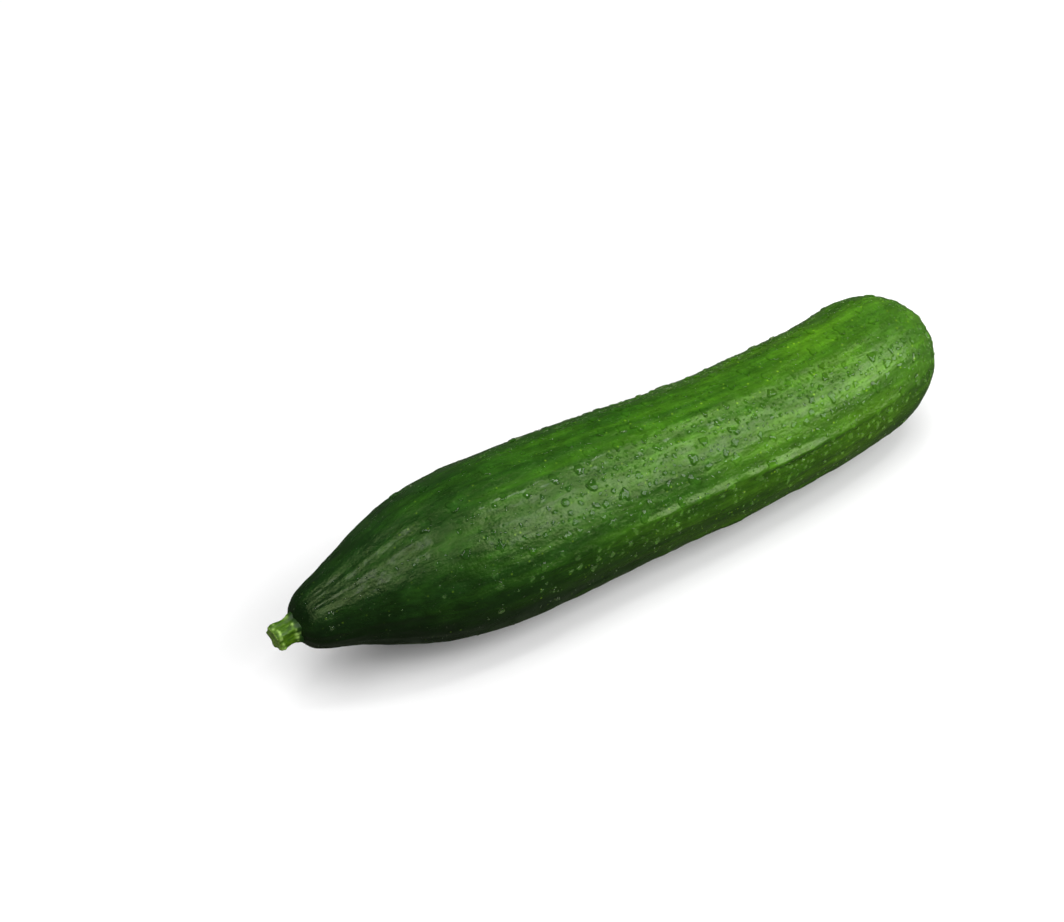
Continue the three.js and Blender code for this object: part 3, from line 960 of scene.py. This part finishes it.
# %% Stem: placing
DROOP = 0.25  # mm
SEAT_GAP = 0.3  # mm, the clearance that the solids have at the seat
first_step = bend(np.array([0.0, 0.5]), np.zeros(2), np.zeros(2))
outward = (first_step[0] - first_step[1]) / np.linalg.norm(first_step[0] - first_step[1])
across = np.cross(outward, [0, 0, 1.0])
across /= np.linalg.norm(across)
upward = np.cross(across, outward)
droop = DROOP * np.clip(stem_reach / STEM_LENGTH, 0, 1.2) ** 2
stem_points = seat_point + (stem_reach + SEAT_GAP)[..., None] * outward
stem_points = stem_points - droop[..., None] * np.array([0, 0, 1.0])
stem_points = stem_points + (stem_out * np.cos(S_THETA))[..., None] * across
stem_points = stem_points + (stem_out * np.sin(S_THETA))[..., None] * upward
stem_stub = ringed_skin("stem_stub", stem_points, stem_points[0].mean(axis=0), stem_points[-1].mean(axis=0))
straight_stem = np.stack([stem_reach, stem_out * np.cos(S_THETA), stem_out * np.sin(S_THETA)], axis=-1)
keep_fact(stem_stub, "straightened", straight_stem, [0, 0, 0], [STEM_LENGTH, 0, 0])
keep_fact(stem_stub, "on_cut", on_cut, 0, 1)
keep_fact(stem_stub, "beads", beads, 0, 0)
print("stem", len(stem_stub.data.polygons), "faces, reaching x", round(float(stem_points[..., 0].min()), 1))

# %% [markdown]
# ## Stalk
#
# Young stalk is a clear yellow-green with darker fibres, and goes dark where the rind begins.
# It has no thick wax and no film of water, so it looks duller than the fruit. The beads are
# paler, and the cut face is a light green, with the open ends of its cells showing. The fibres
# are noise that runs lengthwise, and the cells are drawn about four times as coarse as they
# are, so that they show.

# %% Material: fresh stalk
FIBRE_WIDTH = 0.6667  # mm
CELL_WIDTH = 0.3846  # mm
fresh_stalk, tree, surface = new_material("fresh_stalk")
place = add_node(tree, "ShaderNodeAttribute", {"attribute_name": "straightened"}).outputs["Vector"]
fibres = add_node(tree, "ShaderNodeTexNoise", Vector=stretched(0.4), Scale=1 / FIBRE_WIDTH, Detail=4.0,
                  Roughness=0.6)
stalk_green = add_node(tree, "ShaderNodeValToRGB", {"stops": [
    (0.3, linear("#264704")), (0.5, linear("#3c5f04")), (0.72, linear("#58800e"))]}, Fac=fibres.outputs[0])
stalk_apart = add_node(tree, "ShaderNodeSeparateXYZ", Vector=place)
toward_fruit = add_node(tree, "ShaderNodeMapRange", {"interpolation_type": "SMOOTHSTEP"},
                        Value=stalk_apart.outputs["X"], From_Min=-0.3, From_Max=1.1, To_Min=0.92, To_Max=0.0)
stalk_mix = add_node(tree, "ShaderNodeMix", {"data_type": "RGBA"}, _0=toward_fruit.outputs[0],
                     _6=stalk_green.outputs[0], _7=linear("#1b3712"))
bead_fact = add_node(tree, "ShaderNodeAttribute", {"attribute_name": "beads"})
bead_fade = add_node(tree, "ShaderNodeMath", {"operation": "MULTIPLY", "use_clamp": True},
                     _0=bead_fact.outputs["Fac"], _1=0.7)
with_beads = add_node(tree, "ShaderNodeMix", {"data_type": "RGBA"}, _0=bead_fade.outputs[0],
                      _6=stalk_mix.outputs[2], _7=linear("#98bd5c"))
cut_fact = add_node(tree, "ShaderNodeAttribute", {"attribute_name": "on_cut"})
cells = add_node(tree, "ShaderNodeTexVoronoi", Vector=place, Scale=1 / CELL_WIDTH)
cut_colour = add_node(tree, "ShaderNodeValToRGB", {"stops": [
    (0.1, linear("#a9c46a")), (0.6, linear("#6c9433"))]}, Fac=cells.outputs["Distance"])
stalk_colour = add_node(tree, "ShaderNodeMix", {"data_type": "RGBA"}, _0=cut_fact.outputs["Fac"],
                        _6=with_beads.outputs[2], _7=cut_colour.outputs[0])
stalk_relief = add_node(tree, "ShaderNodeBump", Strength=0.5, Distance=0.15 * MM, Height=fibres.outputs[0])
stalk = add_node(tree, "ShaderNodeBsdfPrincipled", Base_Color=stalk_colour.outputs[2], Roughness=0.45,
                 IOR=1.4, Normal=stalk_relief.outputs[0])
tree.links.new(stalk.outputs[0], surface)
stem_stub.data.materials.append(fresh_stalk)
print("fibres", FIBRE_WIDTH, "mm and cells", CELL_WIDTH, "mm wide")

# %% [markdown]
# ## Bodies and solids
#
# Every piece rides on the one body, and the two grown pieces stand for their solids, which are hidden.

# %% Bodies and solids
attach(fruit_skin, "root")
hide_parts("fruit")
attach(stem_stub, "root")
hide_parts("stem")
for piece in water_pieces:
    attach(piece, "root")
